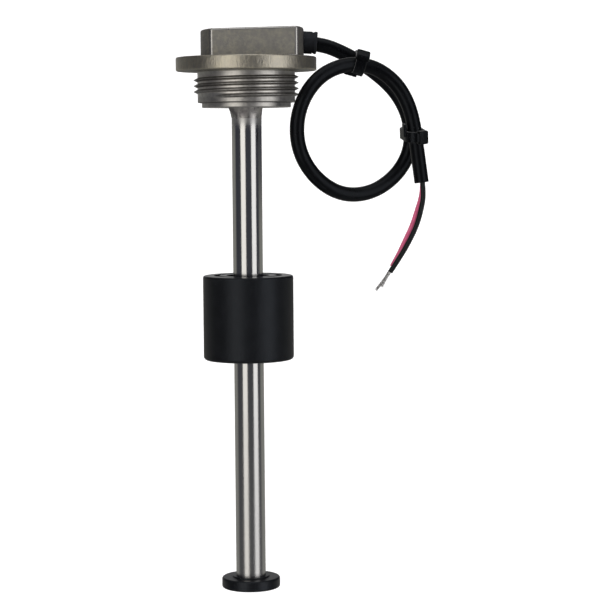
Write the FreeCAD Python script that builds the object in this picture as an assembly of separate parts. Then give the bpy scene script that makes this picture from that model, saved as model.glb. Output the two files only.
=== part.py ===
import FreeCAD, Part
import math
import os

from FreeCAD import Vector

# Tank level sender: a cast, threaded head with a cable, a stem tube, and a float that slides on the stem.
# Millimetres, +Z up along the stem. The origin is on the stem axis, in the plane of the flange's sealing face.
# The cable leaves towards +X, and the spanner flats of the boss face -Y and +Y.

# Head: flange and spanner boss
flange_radius = 28.1
flange_thickness = 5.5
flange_edge_radius = 0.5
boss_across_flats = 30.0
boss_left_end = -18.1
boss_right_end = 23.1
boss_flat_left = -13.5
boss_flat_right = 20.7
boss_height = 11.1
boss_top_slope_deg = 1.2
boss_side_edge_radius = 1.4
boss_top_edge_radius = 0.9

# Head: threaded spigot, pipe thread G 1 1/4
thread_major_radius = 20.955
thread_pitch = 2.309
thread_depth = 1.479
thread_half_angle_deg = 27.5
thread_crest_width = 0.385
thread_turns = 4
thread_relief_height = 2.1
thread_lead_in_height = 1.65
spigot_edge_radius = 0.4

# Head: cavity for the wire joint
cavity_bore_radius = 15.0
cavity_floor_height = 2.5
boss_wall = 3.5
boss_roof = 2.1
boss_cavity_left = -12.5
boss_cavity_right = 18.0
cavity_corner_radius = 3.0

# Plate, weld and stem
plate_radius = 17.8
plate_thickness = 1.9
plate_spigot_height = 3.0
plate_fit = 0.05
stem_radius = 6.0
stem_wall = 1.0
stem_rise_in_head = 4.0
weld_leg = 4.2
weld_width = 1.1
weld_hollow = 0.36
stem_hole_fit = 0.05

# Foot of the stem
end_stop_top = 204.5
end_stop_radius = 11.8
end_stop_thickness = 4.3
end_stop_edge_radius = 0.8
end_stop_collar_width = 1.4
end_stop_collar_height = 0.5
end_stop_seat_depth = 1.2
end_stop_fit = 0.05
plug_length_in_tube = 10.0
plug_spigot_radius = 3.5
plug_spigot_recess = 0.4
clip_thickness = 0.6
clip_width = 1.7
clip_gap_deg = 60.0
clip_groove_depth = 0.5
clip_clearance = 0.05
clip_pocket_radius = 6.4

# Float
float_top = 81.7
float_height = 34.0
float_radius = 18.2
float_bore_clearance = 0.6
float_recess_radius = 8.6
float_recess_depth = 3.0
float_top_edge_radius = 0.9
float_bottom_edge_radius = 1.4
float_ring_radius = 12.6
float_ring_width = 2.2
float_ring_depth = 0.6
magnet_inner_clearance = 0.2
magnet_wall = 2.8
magnet_height = 8.0
magnet_pocket_clearance = 0.1

# Switch board in the stem
board_edge_clearance = 0.3
board_thickness = 1.0
board_rise_in_head = 2.0
switch_radius = 0.9
switch_glass_length = 10.0
switch_wire_radius = 0.25
switch_wire_length = 2.0
switch_first_drop = 28.4
switch_spacing = 20.5
switch_end_clearance = 2.0
resistor_length = 3.2
resistor_width = 1.6
resistor_thickness = 0.6

# Cable bush and cable
cable_radius = 2.9
cable_inner_end = 16.4
bush_axis_height = 11.2
bush_nose_radius = 4.45
bush_nose_end = 28.4
bush_nose_edge_radius = 0.6
bush_groove_offset = 1.3
bush_groove_width = 0.7
bush_groove_depth = 0.3
bush_neck_radius = 3.9
bush_bore_clearance = 0.2
bush_seat_depth = 0.5
bush_seat_clearance = 0.25
core_radius = 1.0
core_spread = 1.1
conductor_radius = 0.5
lead_bend_radius = 6.0
arc_share_of_run = 0.45

# Cable ties
tie_width = 4.2
tie_thickness = 1.1
tie_clearance = 0.3
tie_head_length = 5.4
tie_head_width = 4.2
tie_head_height = 2.6
tie_head_edge_radius = 0.6
tie_tail_width = 2.6
tie_tail_thickness = 1.3
tie_tail_length = 3.0
tie_tail_drop = 0.7
upper_tie_slide = -2.2
upper_tie_lean_deg = -6.0
upper_tie_tip_deg = 0.0
upper_tie_head_turn_deg = 30.0
lower_tie_slide = 0.5
lower_tie_lean_deg = 0.0
lower_tie_tip_deg = 12.0
lower_tie_head_turn_deg = 70.0

# The cable's route from inside the bush, once round the loop and down to its cut end
cable_route = [
    (cable_inner_end, 0.0, bush_axis_height), (28.6, 0.0, bush_axis_height), (41.3, 0.3, 5.9),
    (53.1, 0.9, -1.9), (61.1, 1.4, -10.1), (65.6, 1.8, -20.3), (65.9, 1.6, -31.8), (60.2, 0.2, -42.0),
    (49.9, -4.5, -49.0), (38.0, -10.0, -49.7), (27.9, -14.3, -43.6), (21.2, -17.2, -33.5),
    (19.6, -18.2, -21.8), (22.9, -17.2, -10.3),
    (30.4, -13.0, -1.4), (41.2, -7.4, 2.6), (52.1, -5.2, 0.9), (61.1, -4.7, -6.6), (66.0, -4.4, -17.4),
    (67.9, -4.3, -31.2), (69.7, -4.2, -44.9),
]
# The insulated wires, from the cable's cut end to the ends of their insulation
red_core_route = [
    (69.8, -3.2, -44.91), (70.2, -3.2, -49.4), (68.4, -3.3, -55.9), (66.1, -3.3, -61.9), (63.2, -3.3, -67.9),
    (60.6, -3.3, -73.6), (57.8, -3.3, -78.5),
]
black_core_route = [
    (70.0, -5.3, -44.9), (70.5, -5.3, -49.9), (69.4, -5.3, -55.9), (67.7, -5.3, -61.9), (64.8, -5.3, -68.0),
    (61.2, -5.3, -74.2), (56.9, -5.3, -80.6),
]
# The bare tinned ends
red_conductor_route = [(57.8, -3.3, -78.5), (55.0, -3.3, -83.4), (51.2, -3.3, -88.0)]
black_conductor_route = [(56.9, -5.3, -80.6), (55.0, -5.3, -83.43), (53.5, -5.3, -86.4)]
# Each tie sits on two runs of the cable's route, given by the number of each run's first point
upper_tie_runs = (2, 15)
lower_tie_runs = (5, 18)

# Sizes that follow from the ones above
thread_root_radius = thread_major_radius - thread_depth
thread_flank_height = thread_depth * math.tan(math.radians(thread_half_angle_deg))
thread_base_height = thread_crest_width + 2 * thread_flank_height
spigot_height = (thread_relief_height + (thread_turns - 1) * thread_pitch + thread_base_height
                 + thread_lead_in_height)
boss_top = flange_thickness + boss_height
plate_bottom = -spigot_height - plate_thickness
plate_spigot_top = -spigot_height + plate_spigot_height
stem_bore_radius = stem_radius - stem_wall
stem_top = plate_spigot_top + stem_rise_in_head
stem_bottom = -end_stop_top - end_stop_seat_depth
plug_top = stem_bottom + plug_length_in_tube
end_stop_bottom = -end_stop_top - end_stop_thickness
float_bore_radius = stem_radius + float_bore_clearance
float_bottom = -float_top - float_height
board_top = plate_spigot_top + board_rise_in_head
switch_length = switch_glass_length + 2 * switch_wire_length
switch_first_middle = board_top - switch_first_drop
switch_row_height = switch_first_middle - switch_length / 2 - switch_end_clearance - plug_top
switch_count = 1 + int(switch_row_height / switch_spacing)
bush_seat_x = boss_right_end - bush_seat_depth
bush_bore_radius = cable_radius + bush_bore_clearance
z_axis = Vector(0, 0, 1)
# Two points closer than this count as one
same_point = 1e-4


def rounded_edges(points, radii, closed):
    """Straight edges through the points, with a tangent arc of its own radius at each corner."""
    count = len(points)
    corners = range(count) if closed else range(1, count - 1)
    ends = {i: (points[i], points[i]) for i in range(count)}
    arcs = {}
    for i in corners:
        if radii[i] <= 0:
            continue
        before = (points[i] - points[i - 1]).normalize()
        after = (points[(i + 1) % count] - points[i]).normalize()
        half_turn = before.getAngle(after) / 2
        setback = radii[i] * math.tan(half_turn)
        inward = (after - before).normalize()
        middle = points[i] + inward * (math.hypot(radii[i], setback) - radii[i])
        ends[i] = (points[i] - before * setback, points[i] + after * setback)
        arcs[i] = Part.Arc(ends[i][0], middle, ends[i][1]).toShape()
    edges = []
    for i in range(count):
        if i in arcs:
            edges.append(arcs[i])
        if i < count - 1 or closed:
            start, end = ends[i][1], ends[(i + 1) % count][0]
            if start.distanceToPoint(end) > same_point:
                edges.append(Part.LineSegment(start, end).toShape())
    return edges


def turned(profile):
    """A solid of revolution about the stem axis. Each profile point is radius, height and corner radius."""
    points = [Vector(r, 0, z) for r, z, _ in profile]
    wire = Part.Wire(rounded_edges(points, [corner for _, _, corner in profile], True))
    return Part.Face(wire).revolve(Vector(0, 0, 0), z_axis, 360)


def ring(inner, outer, bottom, top):
    """A plain ring about the stem axis."""
    return turned([(inner, bottom, 0), (outer, bottom, 0), (outer, top, 0), (inner, top, 0)])


def rod(radius, bottom, top):
    """A plain round bar on the stem axis."""
    return Part.makeCylinder(radius, top - bottom, Vector(0, 0, bottom))


def along_cable_exit(radius, start, end):
    """A round bar along +X on the bush's axis."""
    return Part.makeCylinder(radius, end - start, Vector(start, 0, bush_axis_height), Vector(1, 0, 0))


def cord(name, route, radius):
    """A round cord of straight runs joined by arcs that are as large as the runs allow."""
    points = [Vector(*p) for p in route]
    radii = [0.0] * len(points)
    for i in range(1, len(points) - 1):
        before, after = points[i] - points[i - 1], points[i + 1] - points[i]
        shorter = min(before.Length, after.Length)
        radii[i] = arc_share_of_run * shorter / math.tan(before.getAngle(after) / 2)
    path = Part.Wire(rounded_edges(points, radii, False))
    section = Part.Wire(Part.Circle(points[0], points[1] - points[0], radius).toShape())
    tube = path.makePipeShell([section], True, False)
    share = tube.Volume / (math.pi * radius ** 2 * path.Length)
    print(name, "length", round(path.Length, 1), "volume share", round(share, 4),
          "radii", [round(r, 1) for r in radii[1:-1]])
    return tube


def upright_edges(prism):
    """The edges that run up the sides of an upright prism."""
    return [e for e in prism.Edges if abs(e.Vertexes[0].Z - e.Vertexes[-1].Z) > same_point]


def boss_prism():
    """The boss with sharp edges: two flats, and two ends that bulge in plan."""
    half = boss_across_flats / 2
    left_front, left_back = Vector(boss_flat_left, -half, 0), Vector(boss_flat_left, half, 0)
    right_front, right_back = Vector(boss_flat_right, -half, 0), Vector(boss_flat_right, half, 0)
    outline = Part.Wire([
        Part.LineSegment(left_front, right_front).toShape(),
        Part.Arc(right_front, Vector(boss_right_end, 0, 0), right_back).toShape(),
        Part.LineSegment(right_back, left_back).toShape(),
        Part.Arc(left_back, Vector(boss_left_end, 0, 0), left_front).toShape(),
    ])
    return Part.Face(outline).extrude(Vector(0, 0, 2 * boss_top))


def make_boss():
    """The boss with its side edges rounded, its top cut to its slope, then the edge round the top rounded."""
    boss = boss_prism()
    boss = boss.makeFillet(boss_side_edge_radius, upright_edges(boss))
    size = 4 * flange_radius
    block = Part.makeBox(size, size, size, Vector(-size / 2, -size / 2, 0))
    block.Placement = FreeCAD.Placement(Vector(0, 0, boss_top),
                                        FreeCAD.Rotation(Vector(0, 1, 0), -boss_top_slope_deg))
    boss = boss.cut(block)
    rim = [e for e in boss.Edges if e.BoundBox.ZMin > flange_thickness]
    return boss.makeFillet(boss_top_edge_radius, rim)


def thread_profile():
    """Outline points down the spigot: one V-shaped ridge for each turn of the thread."""
    points = []
    half_base = thread_base_height / 2
    half_crest = thread_crest_width / 2
    for turn in range(thread_turns):
        middle = -thread_relief_height - half_base - turn * thread_pitch
        points += [
            (thread_root_radius, middle + half_base, 0), (thread_major_radius, middle + half_crest, 0),
            (thread_major_radius, middle - half_crest, 0), (thread_root_radius, middle - half_base, 0),
        ]
    return points


def make_cavity():
    """The hollow inside the head: a round bore from below and a box inside the boss."""
    bore = rod(cavity_bore_radius, -spigot_height, cavity_floor_height)
    half = boss_across_flats / 2 - boss_wall
    roof = boss_top - boss_roof
    box = Part.makeBox(boss_cavity_right - boss_cavity_left, 2 * half, roof - cavity_floor_height,
                       Vector(boss_cavity_left, -half, cavity_floor_height))
    return bore.fuse(box.makeFillet(cavity_corner_radius, upright_edges(box)))


def make_head_casting(cavity):
    """Flange, threaded spigot and boss in one casting, hollow, with the hole and seat for the bush."""
    body = turned([
        (0, flange_thickness, 0), (flange_radius, flange_thickness, flange_edge_radius),
        (flange_radius, 0, flange_edge_radius), (thread_root_radius, 0, 0), *thread_profile(),
        (thread_root_radius, -spigot_height, spigot_edge_radius), (0, -spigot_height, 0),
    ])
    hole = along_cable_exit(bush_neck_radius, boss_cavity_right, boss_right_end)
    seat = along_cable_exit(bush_nose_radius + bush_seat_clearance, bush_seat_x, boss_right_end)
    return body.fuse(make_boss()).cut(cavity).cut(hole).cut(seat).removeSplitter()


def make_stem_plate():
    """The disc that closes the head, with a spigot in the head's bore and a hole for the stem."""
    spigot_radius = cavity_bore_radius - plate_fit
    hole_radius = stem_radius + stem_hole_fit
    return turned([
        (hole_radius, plate_bottom, 0), (plate_radius, plate_bottom, 0), (plate_radius, -spigot_height, 0),
        (spigot_radius, -spigot_height, 0), (spigot_radius, plate_spigot_top, 0),
        (hole_radius, plate_spigot_top, 0),
    ])


def make_stem_weld():
    """The weld fillet: a hollow curve from the plate down to the stem."""
    top = Vector(stem_radius + weld_width, 0, plate_bottom)
    corner = Vector(stem_radius, 0, plate_bottom)
    toe = Vector(stem_radius, 0, plate_bottom - weld_leg)
    middle = corner + Vector(weld_width * weld_hollow, 0, -weld_leg * weld_hollow)
    outline = Part.Wire([
        Part.LineSegment(toe, corner).toShape(),
        Part.LineSegment(corner, top).toShape(),
        Part.Arc(top, middle, toe).toShape(),
    ])
    return Part.Face(outline).revolve(Vector(0, 0, 0), z_axis, 360)


def clip_seat_height():
    """Height of the roof of the end stop's pocket, which the clip bears against."""
    web = (end_stop_thickness - end_stop_seat_depth) / 2
    return stem_bottom - web


def make_end_plug():
    """The plug in the foot of the tube, with a thinner grooved spigot below it for the end stop."""
    spigot_end = end_stop_bottom + plug_spigot_recess
    groove_top = clip_seat_height()
    groove_bottom = groove_top - clip_thickness - clip_clearance
    groove_radius = plug_spigot_radius - clip_groove_depth
    return turned([
        (0, plug_top, 0), (stem_bore_radius, plug_top, 0), (stem_bore_radius, stem_bottom, 0),
        (plug_spigot_radius, stem_bottom, 0), (plug_spigot_radius, groove_top, 0), (groove_radius, groove_top, 0),
        (groove_radius, groove_bottom, 0), (plug_spigot_radius, groove_bottom, 0),
        (plug_spigot_radius, spigot_end, 0), (0, spigot_end, 0),
    ])


def make_end_stop():
    """The ring at the foot: a seat for the tube above, a pocket for the clip below."""
    bore = plug_spigot_radius + end_stop_fit
    seat = stem_radius + end_stop_fit
    collar = seat + end_stop_collar_width
    collar_top = -end_stop_top + end_stop_collar_height
    pocket_roof = clip_seat_height()
    return turned([
        (bore, pocket_roof, 0), (clip_pocket_radius, pocket_roof, 0), (clip_pocket_radius, end_stop_bottom, 0),
        (end_stop_radius, end_stop_bottom, end_stop_edge_radius),
        (end_stop_radius, -end_stop_top, end_stop_edge_radius), (collar, -end_stop_top, 0),
        (collar, collar_top, 0), (seat, collar_top, 0), (seat, stem_bottom, 0), (bore, stem_bottom, 0),
    ])


def make_end_stop_clip():
    """The open spring clip in the spigot's groove, against the roof of the pocket."""
    top = clip_seat_height()
    inner = plug_spigot_radius - clip_groove_depth + clip_clearance
    whole = ring(inner, inner + clip_width, top - clip_thickness, top)
    half_gap = math.radians(clip_gap_deg / 2)
    reach = 2 * (inner + clip_width)
    corners = [Vector(0, 0, top), Vector(reach * math.cos(half_gap), -reach * math.sin(half_gap), top),
               Vector(reach * math.cos(half_gap), reach * math.sin(half_gap), top), Vector(0, 0, top)]
    mouth = Part.Face(Part.makePolygon(corners)).extrude(Vector(0, 0, -clip_thickness))
    return whole.cut(mouth)


def magnet_sizes():
    """Inner and outer radius, and lower and upper face of the ring magnet."""
    inner = float_bore_radius + magnet_inner_clearance
    middle = (float_bottom - float_top) / 2
    return inner, inner + magnet_wall, middle - magnet_height / 2, middle + magnet_height / 2


def make_float_body():
    """The float: recesses round the stem at both ends, a shallow ring on top and a pocket for the magnet."""
    _, magnet_outer, magnet_bottom, magnet_top = magnet_sizes()
    pocket_radius = magnet_outer + magnet_pocket_clearance
    top = -float_top
    ring_inner = float_ring_radius - float_ring_width / 2
    ring_outer = float_ring_radius + float_ring_width / 2
    return turned([
        (float_bore_radius, float_bottom + float_recess_depth, 0),
        (float_recess_radius, float_bottom + float_recess_depth, 0), (float_recess_radius, float_bottom, 0),
        (float_radius, float_bottom, float_bottom_edge_radius), (float_radius, top, float_top_edge_radius),
        (ring_outer, top, 0), (ring_outer, top - float_ring_depth, 0), (ring_inner, top - float_ring_depth, 0),
        (ring_inner, top, 0), (float_recess_radius, top, 0), (float_recess_radius, top - float_recess_depth, 0),
        (float_bore_radius, top - float_recess_depth, 0), (float_bore_radius, magnet_top, 0),
        (pocket_radius, magnet_top, 0), (pocket_radius, magnet_bottom, 0), (float_bore_radius, magnet_bottom, 0),
    ])


def make_reed_board():
    """The long narrow board, standing on the plug inside the tube."""
    half_thickness = board_thickness / 2
    half_width = math.sqrt((stem_bore_radius - board_edge_clearance) ** 2 - half_thickness ** 2)
    return Part.makeBox(2 * half_width, board_thickness, board_top - plug_top,
                        Vector(-half_width, -half_thickness, plug_top))


def make_reed_switches():
    """Glass reed switches down the front of the board, each with a wire at either end."""
    switches = []
    y = -board_thickness / 2 - switch_radius
    for number in range(switch_count):
        middle = switch_first_middle - number * switch_spacing
        glass = Part.makeCylinder(switch_radius, switch_glass_length, Vector(0, y, middle - switch_glass_length / 2))
        wire = Part.makeCylinder(switch_wire_radius, switch_length, Vector(0, y, middle - switch_length / 2))
        switches.append(glass.fuse(wire))
    return Part.makeCompound(switches)


def make_board_resistors():
    """One small flat resistor on the back of the board between each pair of switches."""
    resistors = []
    for number in range(switch_count - 1):
        middle = switch_first_middle - (number + 0.5) * switch_spacing
        corner = Vector(-resistor_width / 2, board_thickness / 2, middle - resistor_length / 2)
        resistors.append(Part.makeBox(resistor_width, resistor_thickness, resistor_length, corner))
    return Part.makeCompound(resistors)


def make_cable_bush():
    """The rubber bush, turned about the cable's axis: a nose outside and a neck in the wall of the boss."""
    groove_start = bush_nose_end - bush_groove_offset
    groove_end = groove_start - bush_groove_width
    profile = [
        (bush_bore_radius, boss_cavity_right, 0), (bush_neck_radius, boss_cavity_right, 0),
        (bush_neck_radius, bush_seat_x, 0),
        (bush_nose_radius, bush_seat_x, 0), (bush_nose_radius, groove_end, 0),
        (bush_nose_radius - bush_groove_depth, groove_end, 0),
        (bush_nose_radius - bush_groove_depth, groove_start, 0), (bush_nose_radius, groove_start, 0),
        (bush_nose_radius, bush_nose_end, bush_nose_edge_radius), (bush_bore_radius, bush_nose_end, 0),
    ]
    points = [Vector(x, 0, bush_axis_height + r) for r, x, _ in profile]
    wire = Part.Wire(rounded_edges(points, [corner for _, _, corner in profile], True))
    return Part.Face(wire).revolve(Vector(0, 0, bush_axis_height), Vector(1, 0, 0), 360)


def make_inner_lead(y):
    """A lead from the board's top edge straight up, then round to the cable's inner end."""
    points = [Vector(0, y, board_top), Vector(0, y, bush_axis_height), Vector(cable_inner_end, y, bush_axis_height)]
    path = Part.Wire(rounded_edges(points, [0, lead_bend_radius, 0], False))
    section = Part.Wire(Part.Circle(points[0], z_axis, core_radius).toShape())
    return path.makePipeShell([section], True, False)


def make_head_potting(cavity, embedded):
    """The resin: everything in the cavity that the pieces in it leave free."""
    filling = cavity.cut(rod(cavity_bore_radius, -spigot_height, plate_spigot_top))
    filling = filling.cut(rod(stem_radius, plate_spigot_top, stem_top))
    filling = filling.cut(along_cable_exit(cable_radius, cable_inner_end, boss_cavity_right))
    for piece in embedded:
        filling = filling.cut(piece)
    return filling


def stadium(radius, span, width):
    """A slot-shaped prism round two strands that lie `span` apart along X, centred on the origin."""
    half, depth = span / 2, -width / 2
    outline = Part.Wire([
        Part.LineSegment(Vector(-half, -radius, depth), Vector(half, -radius, depth)).toShape(),
        Part.Arc(Vector(half, -radius, depth), Vector(half + radius, 0, depth), Vector(half, radius, depth)).toShape(),
        Part.LineSegment(Vector(half, radius, depth), Vector(-half, radius, depth)).toShape(),
        Part.Arc(Vector(-half, radius, depth), Vector(-half - radius, 0, depth),
                 Vector(-half, -radius, depth)).toShape(),
    ])
    return Part.Face(outline).extrude(Vector(0, 0, width))


def make_tie(runs, slide, lean_deg, tip_deg, head_turn_deg):
    """A tie round two strands of the cable: a flat band, its locking head and the end of its tail."""
    points = [Vector(*p) for p in cable_route]
    directions = [(points[run + 1] - points[run]).normalize() for run in runs]
    middles = [(points[run] + points[run + 1]) / 2 + way * slide for run, way in zip(runs, directions)]
    along = (directions[0] + directions[1]).normalize()
    across = middles[0] - middles[1]
    across = across - along * across.dot(along)
    span = across.Length
    across.normalize()
    centre = (middles[0] + middles[1]) / 2
    along = FreeCAD.Rotation(across, lean_deg).multVec(along)
    side = along.cross(across)
    tip = FreeCAD.Rotation(side, tip_deg)
    along, across = tip.multVec(along), tip.multVec(across)
    span = span / math.cos(math.radians(tip_deg))
    inner = cable_radius + tie_clearance
    outer = inner + tie_thickness
    band = stadium(outer, span, tie_width).cut(stadium(inner, span, tie_width))
    head = Part.makeBox(tie_head_width, tie_head_height, tie_head_length,
                        Vector(-tie_head_width / 2, outer - tie_thickness / 2, -tie_head_length / 2))
    head = head.makeFillet(tie_head_edge_radius, head.Edges)
    head.rotate(Vector(0, 0, 0), z_axis, head_turn_deg)
    head.translate(Vector(-span / 2, 0, 0))
    tail = Part.makeBox(tie_tail_width, tie_tail_thickness, tie_tail_length + tie_width / 2,
                        Vector(-span / 2 - tie_tail_width / 2, -outer - tie_tail_drop,
                               -tie_tail_length - tie_width / 2))
    tie = band.fuse(head).fuse(tail).removeSplitter()
    tie.Placement = FreeCAD.Placement(FreeCAD.Matrix(
        across.x, side.x, along.x, centre.x, across.y, side.y, along.y, centre.y,
        across.z, side.z, along.z, centre.z, 0, 0, 0, 1))
    return tie


cavity = make_cavity()
inner_leads = [make_inner_lead(-core_spread), make_inner_lead(core_spread)]
magnet_inner, magnet_outer, magnet_bottom, magnet_top = magnet_sizes()

nodes = {
    "head_casting": make_head_casting(cavity),
    "head_potting": make_head_potting(cavity, inner_leads),
    "stem_plate": make_stem_plate(),
    "stem_weld": make_stem_weld(),
    "stem_tube": ring(stem_bore_radius, stem_radius, stem_bottom, stem_top),
    "tube_end_plug": make_end_plug(),
    "end_stop": make_end_stop(),
    "end_stop_clip": make_end_stop_clip(),
    "float_body": make_float_body(),
    "float_magnet": ring(magnet_inner, magnet_outer, magnet_bottom, magnet_top),
    "reed_board": make_reed_board(),
    "reed_switches": make_reed_switches(),
    "board_resistors": make_board_resistors(),
    "red_inner_lead": inner_leads[0],
    "black_inner_lead": inner_leads[1],
    "cable_bush": make_cable_bush(),
    "cable_jacket": cord("cable_jacket", cable_route, cable_radius),
    "red_core": cord("red_core", red_core_route, core_radius),
    "black_core": cord("black_core", black_core_route, core_radius),
    "red_conductor": cord("red_conductor", red_conductor_route, conductor_radius),
    "black_conductor": cord("black_conductor", black_conductor_route, conductor_radius),
    "upper_cable_tie": make_tie(upper_tie_runs, upper_tie_slide, upper_tie_lean_deg, upper_tie_tip_deg,
                                upper_tie_head_turn_deg),
    "lower_cable_tie": make_tie(lower_tie_runs, lower_tie_slide, lower_tie_lean_deg, lower_tie_tip_deg,
                                lower_tie_head_turn_deg),
}

os.makedirs("parts", exist_ok=True)
for name, shape in nodes.items():
    box = shape.BoundBox
    print(f"{name}: {len(shape.Solids)} solids, valid {shape.isValid()}, volume {shape.Volume:.1f},",
          f"x {box.XMin:.1f}..{box.XMax:.1f} y {box.YMin:.1f}..{box.YMax:.1f} z {box.ZMin:.1f}..{box.ZMax:.1f}")
    shape.exportStep(f"parts/{name}.step")
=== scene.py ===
# %% [markdown]
# # Dressing a tank level sender
# A level sender screws into the top of a tank. Its cast head carries a cable, its stem hides a row of
# magnetic switches, and a black float slides along the stem. The CAD model fixes every size and place.
# This lesson gives each piece the surface of the real one, and rebuilds the pieces whose looks need a
# finer mesh, such as the helical thread. Everything stays in the CAD model's frame, in metres: +Z runs up
# the stem, and the origin lies in the plane of the flange's underside.

# %% Load the frame
import math

import bmesh
import bpy
from mathutils import Matrix, Vector, noise


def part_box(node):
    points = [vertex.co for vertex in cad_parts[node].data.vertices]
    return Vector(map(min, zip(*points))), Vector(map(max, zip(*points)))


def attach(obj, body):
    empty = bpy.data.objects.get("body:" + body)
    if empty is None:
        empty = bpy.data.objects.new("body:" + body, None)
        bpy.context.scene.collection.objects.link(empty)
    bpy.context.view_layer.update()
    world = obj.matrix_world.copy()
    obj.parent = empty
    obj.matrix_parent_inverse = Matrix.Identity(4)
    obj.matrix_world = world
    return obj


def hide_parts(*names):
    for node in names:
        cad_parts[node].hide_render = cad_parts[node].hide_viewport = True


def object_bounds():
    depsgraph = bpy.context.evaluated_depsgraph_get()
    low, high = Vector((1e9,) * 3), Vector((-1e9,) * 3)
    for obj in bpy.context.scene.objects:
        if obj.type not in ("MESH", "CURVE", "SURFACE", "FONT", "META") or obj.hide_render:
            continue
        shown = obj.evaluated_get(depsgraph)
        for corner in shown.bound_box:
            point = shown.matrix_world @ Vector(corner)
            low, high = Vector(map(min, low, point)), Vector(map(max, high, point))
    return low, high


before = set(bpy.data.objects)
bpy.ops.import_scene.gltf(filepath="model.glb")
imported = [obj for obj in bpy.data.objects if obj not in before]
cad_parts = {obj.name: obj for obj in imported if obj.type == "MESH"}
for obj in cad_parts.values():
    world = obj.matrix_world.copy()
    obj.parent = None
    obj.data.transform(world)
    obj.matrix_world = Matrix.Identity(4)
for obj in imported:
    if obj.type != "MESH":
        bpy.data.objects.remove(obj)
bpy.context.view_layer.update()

mm = 0.001
scene = bpy.context.scene

# %% [markdown]
# ## Camera
# The photograph was taken from about 0.80 m, a little below the head and tilted slightly down, with a long
# lens: the upright sides hardly converge, and the tops of the float and the foot are thin ellipses. A camera
# can be aimed by a constraint that tracks an object. Here its place, tilt and roll are known numbers, solved
# from the ends of the stem and the widths of the flange and the foot, so its matrix is built from them.

# %% Set up the camera
camera_place = Vector((20.8, -800.0, -29.0)) * mm
camera_tilt_deg = 4.495
camera_roll_deg = -0.45
camera_lens = 119.45
camera_sensor = 36.0

camera_data = bpy.data.cameras.new("photo_camera")
camera_data.lens = camera_lens
camera_data.sensor_width = camera_sensor
camera = bpy.data.objects.new("photo_camera", camera_data)
look = Matrix.Rotation(math.radians(90 - camera_tilt_deg), 4, "X")
roll = Matrix.Rotation(math.radians(camera_roll_deg), 4, "Z")
camera.matrix_world = Matrix.Translation(camera_place) @ look @ roll
scene.collection.objects.link(camera)
scene.camera = camera
print("camera at", [round(v, 3) for v in camera_place])

# %% [markdown]
# ## Cable and wires
# The cable leaves the bush, makes one loop in front of itself and ends in two stripped wires. It could be a
# mesh swept along a path, but a curve with a round bevel is the natural way: one NURBS spline takes the
# route's points as its control points, so the line stays smooth, and the cable is rerouted by moving a point.
# The routes are the CAD model's. Only the red wire's first three points are moved, by up to 0.4 mm, so that
# it starts behind the black wire as in the photograph. The cords are kept out of mirror reflections, because
# the real stem shows no trace of the loop.

# %% Routes of the cable and its two wires, in millimetres
cable_route = [
    (16.4, 0.0, 11.2), (28.6, 0.0, 11.2), (41.3, 0.3, 5.9), (53.1, 0.9, -1.9), (61.1, 1.4, -10.1),
    (65.6, 1.8, -20.3), (65.9, 1.6, -31.8), (60.2, 0.2, -42.0), (49.9, -4.5, -49.0), (38.0, -10.0, -49.7),
    (27.9, -14.3, -43.6), (21.2, -17.2, -33.5), (19.6, -18.2, -21.8), (22.9, -17.2, -10.3),
    (30.4, -13.0, -1.4), (41.2, -7.4, 2.6), (52.1, -5.2, 0.9), (61.1, -4.7, -6.6), (66.0, -4.4, -17.4),
    (67.9, -4.3, -31.2), (69.7, -4.2, -44.9),
]
red_core_route = [
    (70.1, -3.2, -44.91), (70.1, -3.2, -49.4), (68.0, -3.3, -55.9), (66.1, -3.3, -61.9), (63.2, -3.3, -67.9),
    (60.6, -3.3, -73.6), (57.8, -3.3, -78.5),
]
black_core_route = [
    (70.0, -5.3, -44.9), (70.5, -5.3, -49.9), (69.4, -5.3, -55.9), (67.7, -5.3, -61.9), (64.8, -5.3, -68.0),
    (61.2, -5.3, -74.2), (56.9, -5.3, -80.6),
]
red_conductor_route = [(57.8, -3.3, -78.5), (55.0, -3.3, -83.4), (51.2, -3.3, -88.0)]
black_conductor_route = [(56.9, -5.3, -80.6), (55.0, -5.3, -83.43), (53.5, -5.3, -86.4)]
print("points on the cable's route:", len(cable_route))

# %% A curve with a round section
cord_length_steps = 16
cord_round_steps = 8


def new_curve(name, round_steps):
    """An empty curve object. Its splines get a round section whose radius their points carry."""
    curve = bpy.data.curves.new(name, "CURVE")
    curve.dimensions = "3D"
    curve.bevel_depth = 1
    curve.bevel_resolution = round_steps
    curve.use_fill_caps = True
    piece = bpy.data.objects.new(name, curve)
    scene.collection.objects.link(piece)
    return piece


def add_spline(curve, kind, places, radius):
    """Adds an open spline of one radius with those places as its points."""
    spline = curve.splines.new(kind)
    spline.points.add(len(places) - 1)
    for point, place in zip(spline.points, places):
        point.co = (*place, 1)
        point.radius = radius
    return spline


def route_curve(name, route, radius):
    """A cord on one smooth spline, with the route's points as its control points."""
    piece = new_curve(name, cord_round_steps)
    piece.data.resolution_u = cord_length_steps
    spline = add_spline(piece.data, "NURBS", [Vector(place) * mm for place in route], radius)
    spline.order_u = 3
    spline.use_endpoint_u = True
    return piece


print("helpers made:", new_curve.__name__, add_spline.__name__, route_curve.__name__)

# %% Cable and wires on their routes
cable_radius = 2.9 * mm
core_radius = 1.0 * mm


def stand_for(piece, node, body="sender"):
    """The piece rides on its body and stands for a CAD node, which it hides.

    On a mesh, large faces also count for more in the shading, so that flats stay flat beside round edges.
    """
    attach(piece, body)
    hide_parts(node)
    if piece.type == "MESH":
        piece.modifiers.new("flat_faces_stay_flat", "WEIGHTED_NORMAL").keep_sharp = True
    return piece


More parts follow.
